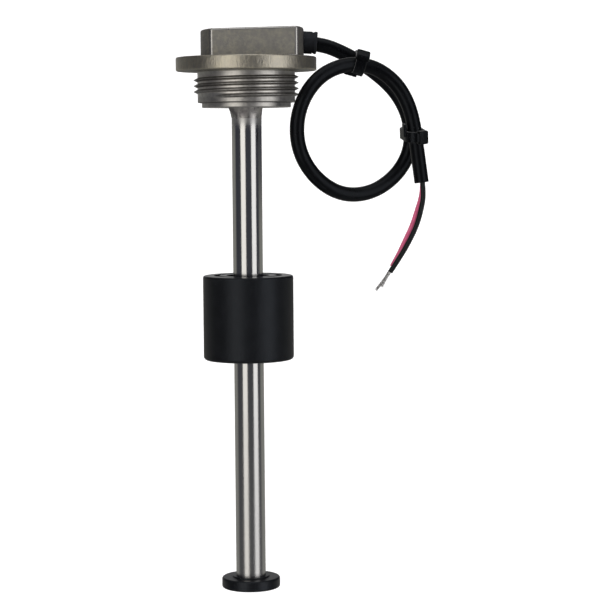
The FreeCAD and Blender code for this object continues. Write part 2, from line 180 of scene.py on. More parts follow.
cable = stand_for(route_curve("cable", cable_route, cable_radius), "cable_jacket")
red_core = stand_for(route_curve("red_wire", red_core_route, core_radius), "red_core")
black_core = stand_for(route_curve("black_wire", black_core_route, core_radius), "black_core")
for cord in (cable, red_core, black_core):
    cord.visible_glossy = False
print("cords:", cable.name, red_core.name, black_core.name)

# %% [markdown]
# ## Shader maths
# Every finish here is a few noises on Object coordinates, mixed into colour, roughness and a small bump.
# Such a recipe could be wired up node by node, but it would be long to write and hard to read. Wrapping a
# socket in a class makes it plain arithmetic: each sum or product adds a Math node, and one method adds any
# other node.

# %% A socket that can be calculated with


class Signal:
    """A socket of a node tree. Arithmetic on it adds Math nodes to that tree."""

    def __init__(self, socket):
        self.socket = socket
        self.tree = socket.id_data

    def node(self, kind, settings=None, inputs=None, output=0):
        """Adds a node: its settings first, then the values or links of its sockets."""
        made = self.tree.nodes.new(kind)
        for name, value in (settings or {}).items():
            setattr(made, name, value)
        for name, value in (inputs or {}).items():
            if isinstance(value, Signal):
                self.tree.links.new(value.socket, made.inputs[name])
            else:
                made.inputs[name].default_value = value
        return Signal(made.outputs[output])

    def calculate(self, operation, first, second=0.0):
        """Adds a Math node."""
        return self.node("ShaderNodeMath", {"operation": operation}, {0: first, 1: second})

    def __add__(self, other):
        return self.calculate("ADD", self, other)

    __radd__ = __add__

    def __sub__(self, other):
        return self.calculate("SUBTRACT", self, other)

    def __rsub__(self, other):
        return self.calculate("SUBTRACT", other, self)

    def __mul__(self, other):
        return self.calculate("MULTIPLY", self, other)

    __rmul__ = __mul__

    def stretched(self, x, y, z):
        """This vector with each axis multiplied."""
        return self.node("ShaderNodeVectorMath", {"operation": "MULTIPLY"}, {0: self, 1: (x, y, z)})

    def noise(self, size, detail=2.0):
        """Noise with spots of about that size, from 0 to 1."""
        return self.node("ShaderNodeTexNoise", None, {"Vector": self, "Scale": 1 / size, "Detail": detail})

    def part(self, axis):
        """One axis of this vector."""
        return self.node("ShaderNodeSeparateXYZ", None, {0: self}, axis)

    def radius(self):
        """Distance of this place from the stem axis."""
        flat = self.stretched(1, 1, 0)
        return flat.node("ShaderNodeVectorMath", {"operation": "LENGTH"}, {0: flat}, "Value")

    def ramp(self, low, high, start=0.0, end=1.0):
        """Goes smoothly from start to end while this value goes from low to high."""
        return self.node("ShaderNodeMapRange", {"interpolation_type": "SMOOTHSTEP"},
                         {"Value": self, "From Min": low, "From Max": high, "To Min": start, "To Max": end})

    def between(self, first, second):
        """A colour between two colours, with this value as the share of the second."""
        first, second = [c if isinstance(c, Signal) else (*c, 1) for c in (first, second)]
        # A Mix node has sockets for each kind of data: its colours are inputs 6 and 7 and output 2
        return self.node("ShaderNodeMix", {"data_type": "RGBA"}, {0: self, 6: first, 7: second}, 2)

    def bump(self, height, strength=1.0):
        """A normal for a surface that rises by `height` where this value is 1."""
        return self.node("ShaderNodeBump", None, {"Height": self, "Distance": height, "Strength": strength})


print("methods of a signal:", [name for name in vars(Signal) if not name.startswith("__")])

# %% Finishes by name
finishes = {}


def new_finish(name, constants):
    """Adds a finish, sets constants on its shader, and returns the shader and its Object coordinates."""
    material = bpy.data.materials.new(name)
    material.use_nodes = True
    nodes = material.node_tree.nodes
    shader = nodes["Principled BSDF"]
    for socket, value in constants.items():
        shader.inputs[socket].default_value = value
    finishes[name] = material
    return shader, Signal(nodes.new("ShaderNodeTexCoord").outputs["Object"])


def feed(shader, signals):
    """Links signals to the shader's sockets."""
    for socket, signal in signals.items():
        shader.id_data.links.new(signal.socket, shader.inputs[socket])


print("helpers made:", new_finish.__name__, feed.__name__)

# %% [markdown]
# ## Black mouldings and insulation
# The float, the foot, the bush, the cable's jacket and the ties are all black, and differ in sheen and grain.
# One shared black would make them a single material, and five separate recipes would repeat each other, so
# one recipe takes each piece's tone, roughness, shine and grain. Duller patches break up the tone, as
# handling does, and a cool tint in the reflections keeps the black from looking brown. The wires' insulation
# is a smoother plastic.

# %% Finishes of the cords
above_everything = 1.0


def moulded_black(name, tone, rough, shine, grain_size, grain_height, smooth_from=above_everything):
    """A black moulding: a fine grain, a few greyer patches, and a smooth face from one height up."""
    shader, place = new_finish(name, {"Specular IOR Level": shine, "Specular Tint": (0.80, 0.88, 1, 1)})
    grain = place.noise(grain_size, 3.0)
    patch = place.noise(7.0 * mm, 3.0)
    smooth = place.part(2).ramp(smooth_from - 0.1 * mm, smooth_from - 0.02 * mm)
    black = (tone, 1.04 * tone, 1.25 * tone)
    grey = (1.4 * tone, 1.45 * tone, 1.7 * tone)
    feed(shader, {
        "Base Color": patch.ramp(0.40, 0.75).between(black, grey),
        "Roughness": (rough + 0.06 * patch + 0.08 * grain) * (1.0 - 0.5 * smooth),
        "Normal": (grain * (1.0 - smooth)).bump(grain_height, 0.6),
    })


def insulation(name, colour, darker, shine):
    """The smooth plastic round one wire."""
    shader, place = new_finish(name, {"Specular IOR Level": shine})
    tone = place.noise(1.6 * mm, 2.0)
    feed(shader, {
        "Base Color": tone.between(colour, darker),
        "Roughness": 0.30 + 0.15 * tone,
        "Normal": place.noise(0.3 * mm).bump(0.02 * mm, 0.4),
    })


moulded_black("cable_jacket", tone=0.0016, rough=0.22, shine=0.15, grain_size=0.5 * mm,
              grain_height=0.02 * mm)
insulation("red_insulation", (0.56, 0.085, 0.195), (0.46, 0.06, 0.15), shine=0.5)
insulation("black_insulation", (0.004, 0.007, 0.008), (0.003, 0.004, 0.005), shine=0.28)
for cord, finish in ((cable, "cable_jacket"), (red_core, "red_insulation"), (black_core, "black_insulation")):
    cord.data.materials.append(finishes[finish])
print("finishes of the cords:", list(finishes))

# %% [markdown]
# ## Turning and joining
# Most pieces of the sender were turned, so one helper does for Blender what a lathe does: a wire profile,
# its corners rounded by a vertex bevel, is spun once round the axis. A cylinder with a Bevel modifier would
# round every edge alike, while a profile gives each corner its own radius. Booleans unite what is one
# moulding and cut what is hollow, so that each piece stays one closed mesh.

# %% Wires, bevels and arcs
turn_steps = 128
corner_segments = 5
merge_gap = 0.0005 * mm
z_axis = Vector((0, 0, 1))


def bevel(bm, geom, offset, affect, segments):
    """Rounds vertices or edges. The operator's defaults differ from the editor's, so all is said here."""
    bmesh.ops.bevel(bm, geom=geom, offset=offset, offset_type="OFFSET", affect=affect, segments=segments,
                    profile=0.5, material=-1)


def rounded_wire(bm, corners, closed):
    """A wire through the corners. Each corner is a place and the radius that rounds it."""
    places = [place for place, _ in corners]
    verts = [bm.verts.new(place) for place in places]
    ends = verts[1:] + verts[:1] if closed else verts[1:]
    edges = [bm.edges.new(pair) for pair in zip(verts, ends)]
    for number, (_, radius) in enumerate(corners):
        if radius > 0:
            before = places[number] - places[number - 1]
            after = places[(number + 1) % len(places)] - places[number]
            setback = radius * math.tan(before.angle(after) / 2)
            bevel(bm, [verts[number]], setback, "VERTICES", corner_segments)
    return edges


def verts_in(geom):
    """The vertices among an operator's results."""
    return [item for item in geom if isinstance(item, bmesh.types.BMVert)]


def arc(bm, first, centre, angle, steps):
    """Draws edges from a vertex round an upright axis, and returns the vertex at their end."""
    drawn = bmesh.ops.spin(bm, geom=[first], cent=centre, axis=z_axis, dvec=(0, 0, 0), angle=angle,
                           steps=steps)
    return verts_in(drawn["geom_last"])[0]


def ring_edges(bm, height):
    """The open edges of a mesh that lie at one height."""
    return [e for e in bm.edges if e.is_boundary and all(abs(v.co.z - height) < merge_gap for v in e.verts)]


print("steps round a turned piece:", turn_steps)

# %% Turned meshes


def clean(bm):
    """Merges doubles, then turns every face outwards."""
    bmesh.ops.remove_doubles(bm, verts=bm.verts, dist=merge_gap)
    bmesh.ops.recalc_face_normals(bm, faces=bm.faces)
    return bm


def add_turned(bm, profile, closed):
    """Adds a skin spun round the stem axis. Each profile point is radius, height and corner radius."""
    old_verts, old_edges = set(bm.verts), set(bm.edges)
    rounded_wire(bm, [(Vector((r, 0, z)), corner) for r, z, corner in profile], closed)
    wire = [v for v in bm.verts if v not in old_verts] + [e for e in bm.edges if e not in old_edges]
    bmesh.ops.spin(bm, geom=wire, cent=(0, 0, 0), axis=z_axis, dvec=(0, 0, 0), angle=math.tau,
                   steps=turn_steps, use_merge=True)
    bmesh.ops.remove_doubles(bm, verts=[v for v in bm.verts if v not in old_verts], dist=merge_gap)


def turned(profile, closed=True):
    """A new mesh spun round the stem axis."""
    bm = bmesh.new()
    add_turned(bm, profile, closed)
    return clean(bm)


print("helpers made:", clean.__name__, add_turned.__name__, turned.__name__)

# %% Objects and Booleans
sharp_angle_deg = 32


def mesh_object(name, bm, finish_names=()):
    """The bmesh as an object at the origin, smooth apart from its sharp edges."""
    mesh = bpy.data.meshes.new(name)
    bm.to_mesh(mesh)
    bm.free()
    for finish in finish_names:
        mesh.materials.append(finishes[finish])
    mesh.shade_smooth()
    mesh.set_sharp_from_angle(angle=math.radians(sharp_angle_deg))
    piece = bpy.data.objects.new(name, mesh)
    scene.collection.objects.link(piece)
    return piece


def boolean(piece, tool, operation):
    """Cuts the tool from the piece or unites the two. The result becomes the piece's mesh, the tool goes."""
    step = piece.modifiers.new(operation, "BOOLEAN")
    step.operation = operation
    step.solver = "EXACT"
    step.object = tool
    bpy.context.view_layer.update()
    result = bpy.data.meshes.new_from_object(piece.evaluated_get(bpy.context.evaluated_depsgraph_get()))
    piece.modifiers.remove(step)
    old = piece.data
    piece.data = result
    bpy.data.meshes.remove(old)
    result.name = piece.name
    bpy.data.objects.remove(tool)
    result.set_sharp_from_angle(angle=math.radians(sharp_angle_deg))


print("edges stay sharp from", sharp_angle_deg, "degrees")

# %% [markdown]
# ## Steel of the head
# The head is an investment casting, blasted to a fine satin with a warm, mottled tone. Its flange was turned
# to size, which left upright streaks and a brighter skin on the rim. The thread is cut. A painted highlight
# lightens its roots, the relief under the flange and its crests, painted shade keeps its flanks and the plain
# end below darker, and a dark seam shows where the closing plate begins.
# The rounded corners of the boss get a lighter, glossier steel, which paints a highlight on them. All this
# could be painted on a texture. Reading radius and height from Object coordinates puts each tone of the cast
# and turned steel in its place, and the corners take their steel face by face.

# %% Sizes of the head
head_low, head_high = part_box("head_casting")
flange_radius = head_high.x
flange_thickness = 5.5 * mm
flange_edge_radius = 0.6 * mm
spigot_bottom = head_low.z
spigot_edge_radius = 0.4 * mm
thread_major = 20.955 * mm
thread_root = 19.476 * mm
thread_pitch = 2.309 * mm
print("flange radius and spigot depth in mm:", round(flange_radius / mm, 2), round(-spigot_bottom / mm, 2))

# %% Cast steel


def cast_steel():
    shader, place = new_finish("cast_steel", {"Metallic": 1.0})
    grain = place.noise(0.45 * mm, 3.0)
    blotch = place.noise(3.2 * mm, 2.0)
    rim = place.radius().ramp(flange_radius - 1.2 * mm, flange_radius - 0.5 * mm)
    speck = place.noise(1.1 * mm, 3.0)
    streak = place.stretched(1, 1, 0.35).noise(0.7 * mm, 3.0)
    speck = speck + rim * (streak - speck)
    tone = (0.3 * blotch + 0.5 * speck + 0.25 * rim).ramp(0.25, 0.80)
    feed(shader, {
        "Base Color": tone.between((0.335, 0.328, 0.310), (0.60, 0.555, 0.45)),
        "Roughness": 0.42 + 0.16 * grain + 0.10 * speck - 0.22 * rim,
        "Normal": (grain + 1.2 * speck).bump(0.16 * mm, 0.6),
    })


cast_steel()
print("nodes in cast_steel:", len(finishes["cast_steel"].node_tree.nodes))

# %% Turned steel, and steel with a painted highlight for the boss's corners


def turned_steel():
    shader, place = new_finish("turned_steel", {"Metallic": 1.0})
    radius, height = place.radius(), place.part(2)
    rings = place.node("ShaderNodeCombineXYZ", None, {0: radius, 2: height}).noise(0.12 * mm, 2.0)
    blotch = place.noise(1.4 * mm, 3.0)
    # Painted highlight on the roots and the relief under the flange. The flanks lie outside this mask and the
    # next, so they stay darker as painted shade.
    root = radius.ramp(thread_root + 0.374 * mm, thread_root + 0.024 * mm)
    # Painted highlight on the crests
    crest_highlight = radius.ramp(thread_major - 0.255 * mm, thread_major - 0.035 * mm)
    # Painted shade on the plain end below the thread, which takes back part of the roots' highlight
    end = height.ramp(spigot_bottom + 2.8 * mm, spigot_bottom + 1.6 * mm)
    end = end * height.ramp(spigot_bottom - 0.15 * mm, spigot_bottom + 0.15 * mm, 0.6, 1.0)
    seam = height.calculate("ABSOLUTE", height - spigot_bottom).ramp(0.40 * mm, 0.10 * mm)
    tone = 0.24 * blotch.ramp(0.3, 0.7) + 0.78 * root + 0.32 * crest_highlight - 0.30 * end * root - 0.8 * seam
    feed(shader, {
        "Base Color": tone.between((0.26, 0.25, 0.24), (0.75, 0.73, 0.69)),
        "Roughness": 0.32 + 0.16 * rings + 0.06 * blotch - 0.04 * root,
        "Normal": rings.bump(0.03 * mm, 0.5),
    })


def corner_highlight_steel():
    # Lighter and glossier than the cast steel: a painted highlight on the boss's rounded corners
    shader, place = new_finish("corner_highlight_steel", {"Metallic": 1.0})
    highlight_mottle = place.noise(0.9 * mm, 3.0)
    feed(shader, {
        "Base Color": highlight_mottle.between((0.58, 0.565, 0.54), (0.44, 0.43, 0.41)),
        "Roughness": 0.22 + 0.14 * highlight_mottle,
    })


turned_steel()
corner_highlight_steel()
print("finishes so far:", len(finishes))

# %% [markdown]
# ## Thread and flange
# The spigot carries a pipe thread. A stack of rings would only look like a thread from afar, so one ridge's
# outline is spun up the axis as it turns, and its turns are merged into one skin. The ridge fades at both
# ends, where the real tool ran in and out. The flange above and the plain end below are turned skins, and
# bridges of faces join the three into one.

# %% Run-out at both ends of the thread
thread_right_crest = -2.44 * mm
thread_first_turn = -0.16
thread_last_turn = 3.38
thread_fade_turns = 0.14


def fade_thread(bm):
    """Lets the ridge sink into the root cylinder before its first turn and after its last."""
    for vert in bm.verts:
        radius = math.hypot(vert.co.x, vert.co.y)
        if radius > thread_root + merge_gap:
            part_turn = -math.atan2(vert.co.y, vert.co.x) / math.tau
            turn = part_turn + round((thread_right_crest - vert.co.z) / thread_pitch - part_turn)
            inside = min(turn - thread_first_turn, thread_last_turn - turn) / thread_fade_turns
            share = max(0.0, min(1.0, inside))
            share = share * share * (3 - 2 * share)
            wanted = thread_root + (radius - thread_root) * share
            vert.co.x *= wanted / radius
            vert.co.y *= wanted / radius


print("turns of the thread:", round(thread_last_turn - thread_first_turn, 2))

# %% Thread
thread_half_crest = 0.1 * mm
thread_half_base = 0.86 * mm
thread_top = -0.6 * mm
thread_bottom = -11.4 * mm
thread_spare_turns = 2


def thread_skin(bm, top, bottom):
    """The spigot's skin between two heights: a right-hand ridge wound round the root cylinder."""
    turns_below = math.ceil(thread_last_turn) + thread_spare_turns
    turns = turns_below + thread_spare_turns
    start = thread_right_crest - turns_below * thread_pitch
    half_pitch = thread_pitch / 2
    outline = [
        (thread_root, half_pitch), (thread_root, thread_half_base), (thread_major, thread_half_crest),
        (thread_major, -thread_half_crest), (thread_root, -thread_half_base), (thread_root, -half_pitch),
    ]
    edges = rounded_wire(bm, [(Vector((r, 0, start + z)), 0) for r, z in outline], False)
    bmesh.ops.spin(bm, geom=bm.verts[:] + edges, cent=(0, 0, 0), axis=z_axis, angle=math.tau * turns,
                   dvec=(0, 0, thread_pitch / turn_steps), steps=turn_steps * turns)
    bmesh.ops.remove_doubles(bm, verts=bm.verts, dist=merge_gap)
    fade_thread(bm)
    for height, away in ((top, z_axis), (bottom, -z_axis)):
        bmesh.ops.bisect_plane(bm, geom=bm.verts[:] + bm.edges[:] + bm.faces[:], dist=merge_gap,
                               plane_co=(0, 0, height), plane_no=away, clear_outer=True)


head = bmesh.new()
thread_skin(head, thread_top, thread_bottom)
print("thread:", len(head.faces), "faces")

# %% Flange and the spigot's end
join_gap = 0.2 * mm
flange_top_ring = 27.0 * mm

add_turned(head, [
    (thread_root, thread_top + join_gap, 0), (thread_root, 0, 0), (flange_radius, 0, flange_edge_radius),
    (flange_radius, flange_thickness, flange_edge_radius), (flange_top_ring, flange_thickness, 0),
], False)
add_turned(head, [
    (thread_root, thread_bottom - join_gap, 0), (thread_root, spigot_bottom, spigot_edge_radius),
    (0, spigot_bottom, 0),
], False)
for low, high in ((thread_top, thread_top + join_gap), (thread_bottom - join_gap, thread_bottom)):
    bmesh.ops.bridge_loops(head, edges=ring_edges(head, low) + ring_edges(head, high))
print("turned part:", len(head.faces), "faces, open edges", sum(e.is_boundary for e in head.edges))

# %% [markdown]
# ## Spanner boss
# The boss on the flange has two flats for a spanner, two bulged ends and a top that rises a little towards
# the cable. It could be a bevelled block united with the flange, but a Boolean there leaves ragged faces
# along the toe. So the boss grows out of the flange from its own outline, by insets that follow the fillet,
# the wall and the rounded top edge, which keeps even quads all the way up.

# %% Outline of the boss
boss_half_width = 15.0 * mm
boss_left_end = -18.1 * mm
boss_left_flat = -13.5 * mm
boss_right_end = 23.1 * mm
boss_right_flat = 20.7 * mm
boss_side_radius = 1.4 * mm
boss_toe_radius = 0.5 * mm
boss_end_steps = 14


def boss_outline(bm):
    """The edge of the boss's toe on the flange: two flats, two bulged ends and rounded corners."""
    half = boss_half_width + boss_toe_radius
    corners = []
    for side, end, flat in ((-1, boss_left_end, boss_left_flat), (1, boss_right_end, boss_right_flat)):
        bulge = abs(end - flat)
        radius = (boss_half_width ** 2 + bulge ** 2) / (2 * bulge)
        centre = Vector((end - side * radius, 0, flange_thickness))
        reach = math.sqrt((radius + boss_toe_radius) ** 2 - half ** 2)
        first = bm.verts.new(centre + Vector((side * reach, -side * half, 0)))
        corners += [first, arc(bm, first, centre, 2 * math.atan2(half, reach), boss_end_steps)]
    bm.edges.new((corners[1], corners[2]))
    bm.edges.new((corners[3], corners[0]))
    for corner in corners:
        first, second = [edge.other_vert(corner).co - corner.co for edge in corner.link_edges]
        setback = (boss_side_radius + boss_toe_radius) * math.tan((math.pi - first.angle(second)) / 2)
        bevel(bm, [corner], setback, "VERTICES", corner_segments)
    return [edge for edge in bm.edges if edge.is_wire]


boss_face = bmesh.ops.contextual_create(head, geom=boss_outline(head))["faces"][0]
toe_edges = boss_face.edges[:]
flange_ring = [edge for edge in ring_edges(head, flange_thickness) if edge not in toe_edges]
bmesh.ops.bridge_loops(head, edges=flange_ring + toe_edges)
print("edges round the boss:", len(toe_edges))

# %% Boss raised from its outline
boss_top = 16.6 * mm
boss_top_radius = 0.9 * mm
boss_top_slope_deg = 1.2
boss_round_steps = 6


def rise(bm, face, inward, upward):
    """Insets a level face and lifts it."""
    bmesh.ops.inset_region(bm, faces=[face], thickness=inward, depth=0, use_boundary=True,
                           use_even_offset=True)
    bmesh.ops.translate(bm, verts=face.verts[:], vec=(0, 0, upward))


# How far each step of a quarter round goes along its first leg and its second
angles = [math.pi / 2 * step / boss_round_steps for step in range(boss_round_steps + 1)]
quarter_round = [(math.sin(b) - math.sin(a), math.cos(a) - math.cos(b)) for a, b in zip(angles, angles[1:])]
for along, across in quarter_round:
    rise(head, boss_face, boss_toe_radius * along, boss_toe_radius * across)
boss_face = bmesh.ops.extrude_discrete_faces(head, faces=[boss_face])["faces"][0]
boss_wall_height = boss_top - boss_top_radius - flange_thickness - boss_toe_radius
bmesh.ops.translate(head, verts=boss_face.verts[:], vec=(0, 0, boss_wall_height))
for along, across in quarter_round:
    rise(head, boss_face, boss_top_radius * across, boss_top_radius * along)
boss_slope = math.tan(math.radians(boss_top_slope_deg))
for vert in head.verts:
    up_the_boss = max(0.0, vert.co.z - flange_thickness) / (boss_top - flange_thickness)
    vert.co.z += up_the_boss * vert.co.x * boss_slope
clean(head)
print("head:", len(head.faces), "faces, open edges", sum(e.is_boundary for e in head.edges))

# %% Which faces are turned and which carry the painted corner highlight
head_finishes = ["cast_steel", "turned_steel", "corner_highlight_steel"]
# The faces of a rounded corner look towards the flats by a share between these two
corner_least_facing = 0.60
corner_most_facing = 0.998

head.normal_update()
for face in head.faces:
    middle = face.calc_center_median()
    on_spigot = middle.z < -join_gap and math.hypot(middle.x, middle.y) < thread_major + join_gap
    on_boss = middle.z > flange_thickness + join_gap
    if on_spigot:
        face.material_index = head_finishes.index("turned_steel")
    # The rounded corners of the boss take the steel with the painted highlight
    elif on_boss and corner_least_facing < abs(face.normal.y) < corner_most_facing:
        face.material_index = head_finishes.index("corner_highlight_steel")
for index, finish in enumerate(head_finishes):
    print(finish, "faces:", sum(face.material_index == index for face in head.faces))

# %% [markdown]
# ## Hollow inside the head
# The head is hollow for the wire joint and its resin, and open for the bush. A wall could be given by a
# Solidify modifier, but the hollow's form differs from the outside, so it is cut out by Booleans: a round
# bore from below, a box inside the boss, and a stepped hole along the bush's axis.

# %% Box inside the boss
cavity_floor = 2.5 * mm
cavity_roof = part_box("head_potting")[1].z
cavity_half_width = 11.5 * mm
cavity_left = -12.5 * mm
cavity_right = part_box("head_potting")[1].x
cavity_corner = 3.0 * mm
cut_overrun = 1.0 * mm


def box_cavity():
    """The box inside the boss, with rounded upright corners."""
    bm = bmesh.new()
    plan = [(cavity_left, -1), (cavity_right, -1), (cavity_right, 1), (cavity_left, 1)]
    base = cavity_floor - cut_overrun
    rounded_wire(bm, [(Vector((x, side * cavity_half_width, base)), cavity_corner) for x, side in plan], True)
    floor_face = bmesh.ops.contextual_create(bm, geom=bm.edges[:])["faces"][0]
    walls = bmesh.ops.extrude_face_region(bm, geom=[floor_face])["geom"]
    bmesh.ops.translate(bm, verts=verts_in(walls), vec=(0, 0, cavity_roof - base))
    return clean(bm)


print("length of the box in mm:", round((cavity_right - cavity_left) / mm, 1))

# %% Cut the hollow
cavity_radius = 15.0 * mm
bush_axis_height = 11.2 * mm
bush_neck_radius = 3.9 * mm
bush_seat_radius = 4.7 * mm
bush_seat_x = 22.6 * mm


def bar(radius, low, high):
    """A closed round bar on the stem axis."""
    return turned([(0, low, 0), (radius, low, 0), (radius, high, 0), (0, high, 0)], False)


def along_bush(bm):
    """Lays a piece made on the stem axis along the bush's axis."""
    bmesh.ops.transform(bm, verts=bm.verts, matrix=Matrix.Rotation(math.pi / 2, 4, "Y"))
    bmesh.ops.translate(bm, verts=bm.verts, vec=(0, 0, bush_axis_height))
    return bm


head_piece = mesh_object("head", head, head_finishes)
for cutter in (
    bar(cavity_radius, spigot_bottom - cut_overrun, cavity_floor), box_cavity(),
    along_bush(bar(bush_neck_radius, cavity_right - cut_overrun, boss_right_end)),
    along_bush(bar(bush_seat_radius, bush_seat_x, boss_right_end + cut_overrun)),
):
    boolean(head_piece, mesh_object("cutter", cutter), "DIFFERENCE")
stand_for(head_piece, "head_casting")
print("head with its hollow:", len(head_piece.data.polygons), "faces")

# %% [markdown]
# ## Plate and stem
# A turned plate closes the head from below, and the stem is a drawn and polished tube welded into it. The
# tube mirrors the room sharply at the top and less so lower down, and the heat of the weld has dulled its
# first few millimetres. Its faint lines run lengthwise. Brushed metal is often an image on a UV map, but a
# noise that is stretched along Z needs neither. Plate and tube could be cylinders, but spun profiles give
# them their bores, steps and softened edges at once.

# %% Drawn tube
stem_dull_heights = (-95 * mm, -195 * mm)
stem_grey_heights = (0, -200 * mm)
weld_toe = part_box("stem_weld")[0].z


def drawn_tube():
    shader, place = new_finish("drawn_tube", {"Metallic": 1.0})
    lines = place.stretched(1, 1, 0.012).noise(0.16 * mm, 3.0)
    smudge = place.stretched(1, 1, 0.3).noise(5.0 * mm, 2.0)
    height = place.part(2)
    heat = height.ramp(weld_toe - 5.3 * mm, weld_toe + 0.3 * mm)
    tone = 0.3 * smudge + 0.7 * height.ramp(*stem_grey_heights)
    rough = 0.09 + 0.12 * height.ramp(*stem_dull_heights) + 0.06 * lines + 0.04 * smudge + 0.32 * heat
    feed(shader, {
        "Base Color": tone.between((0.70, 0.695, 0.68), (0.51, 0.505, 0.50)),
        "Roughness": rough,
        "Normal": lines.bump(0.010 * mm, 0.3),
    })


drawn_tube()
print("weld's toe in mm:", round(weld_toe / mm, 2))

# %% Plate and stem
fit_clearance = 0.05 * mm
plate_low, plate_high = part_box("stem_plate")
plate_spigot_radius = cavity_radius - fit_clearance
plate_edge_radius = 0.25 * mm
stem_low, stem_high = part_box("stem_tube")
stem_radius = stem_high.x
stem_bore_radius = 5.0 * mm
stem_edge_radius = 0.2 * mm

plate = mesh_object("stem_plate", turned([
    (stem_radius, plate_low.z, 0), (plate_high.x, plate_low.z, plate_edge_radius),
    (plate_high.x, spigot_bottom, 0), (plate_spigot_radius, spigot_bottom, 0),
    (plate_spigot_radius, plate_high.z, plate_edge_radius), (stem_radius, plate_high.z, 0),
]), ["turned_steel"])
stand_for(plate, "stem_plate")
stem = mesh_object("stem_tube", turned([
    (stem_bore_radius, stem_low.z, 0), (stem_radius, stem_low.z, stem_edge_radius),
    (stem_radius, stem_high.z, stem_edge_radius), (stem_bore_radius, stem_high.z, 0),
]), ["drawn_tube"])
stand_for(stem, "stem_tube")
print("plate and stem:", len(plate.data.polygons), len(stem.data.polygons), "faces")

# %% [markdown]
# ## Weld
# The weld between plate and stem is the one rough place on the sender. A plain fillet would look machined,
# and a bump alone would leave its outline smooth. So the spun fillet is divided, and its points are pushed in
# and out by a smooth noise. The bead is thicker on its left, as in the photograph, and painted light makes
# its right side lighter than its left. Its steel is crusty and tinted by heat, with a few burnt spots, and it
# smooths out towards the toe.

# %% Weld steel


def weld_steel():
    shader, place = new_finish("weld_steel", {"Metallic": 1.0})
    crust = place.noise(0.8 * mm, 4.0)
    tint = place.noise(2.2 * mm, 2.0)
    toe = place.part(2).ramp(plate_low.z - 1.3 * mm, weld_toe + 0.5 * mm)
    # Painted light: the bead's colour turns lighter towards its right side
    right_side_painted_light = place.part(0).ramp(-2.0 * mm, 4.0 * mm)
    burnt = place.noise(1.5 * mm, 2.0).ramp(0.56, 0.66)
    tone = 0.5 * tint.ramp(0.35, 0.65) + 0.5 * right_side_painted_light - 0.45 * burnt
    feed(shader, {
        "Base Color": tone.between((0.28, 0.265, 0.27), (0.68, 0.66, 0.63)),
        "Roughness": 0.50 + 0.20 * crust - 0.24 * toe,
        "Normal": (crust * (1.0 - 0.8 * toe)).bump(0.25 * mm, 0.7),
    })


weld_steel()
print("nodes in weld_steel:", len(finishes["weld_steel"].node_tree.nodes))

# %% Weld
weld_width = 1.0 * mm
weld_leg = 4.2 * mm
weld_hollow = 0.30
weld_rows = 10
weld_lump_size = 2.2 * mm
weld_lump_height = 0.16 * mm
weld_lean = 0.45
weld_toe_wave = 0.20
weld_toe_wave_rate = 3


def roughen_weld(bm):
    """Hollows the fillet, lets it lean to one side, and adds lumps and an uneven toe."""
    for vert in bm.verts:
        flat = Vector((vert.co.x, vert.co.y, 0))
        outward = flat.normalized()
        width = flat.length - stem_radius
        if width > merge_gap:
            down = (plate_low.z - vert.co.z) / weld_leg
            lump = weld_lump_height * noise.noise(vert.co / weld_lump_size)
            lean = 1 - weld_lean * outward.x
            bead = width * lean * (1 - 4 * weld_hollow * down * (1 - down)) + lump * (1 - down)
            vert.co -= outward * (width - max(bead, 0.0))
        if vert.co.z < plate_low.z - merge_gap:
            wave = 1 + weld_toe_wave * noise.noise(weld_toe_wave_rate * outward)
            vert.co.z = plate_low.z + (vert.co.z - plate_low.z) * wave


weld = turned([
    (stem_radius, plate_low.z, 0), (stem_radius + weld_width, plate_low.z, 0),
    (stem_radius, plate_low.z - weld_leg, 0),
])
slopes = [e for e in weld.edges if abs(e.verts[0].co.z - e.verts[1].co.z) > weld_leg / 2]
bmesh.ops.subdivide_edges(weld, edges=slopes, cuts=weld_rows, use_grid_fill=True)
roughen_weld(weld)
weld_piece = stand_for(mesh_object("stem_weld", clean(weld), ["weld_steel"]), "stem_weld")
print("weld:", len(weld_piece.data.polygons), "faces")

# %% [markdown]
# ## Float and end stop
# The float is one moulding with a recess round the stem at each end and a shallow ring on its top. Its
# bottom edge is rounder than its top edge, which tells in the outline, and its top face came out of the
# mould smoother than its side. The end stop is a ring with soft edges and a low collar where it grips the
# stem. Cutting such steps by Booleans would leave every edge sharp, so each piece is one spun profile.

# %% Float
float_low, float_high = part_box("float_body")
float_radius = float_high.x
float_clearance = 0.6 * mm
float_bore = stem_radius + float_clearance
float_bottom_edge = 1.4 * mm
float_top_edge = 0.9 * mm
float_recess_radius = 8.6 * mm
float_recess_depth = 3.0 * mm
float_recess_roof = float_low.z + float_recess_depth
float_recess_floor = float_high.z - float_recess_depth
float_ring_inner = 11.5 * mm
float_ring_outer = 13.7 * mm
float_ring_depth = 0.6 * mm
float_ring_floor = float_high.z - float_ring_depth
float_lip_radius = 0.4 * mm
float_groove_radius = 0.25 * mm
magnet_low, magnet_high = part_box("float_magnet")
magnet_clearance = 0.1 * mm
magnet_pocket_radius = magnet_high.x + magnet_clearance

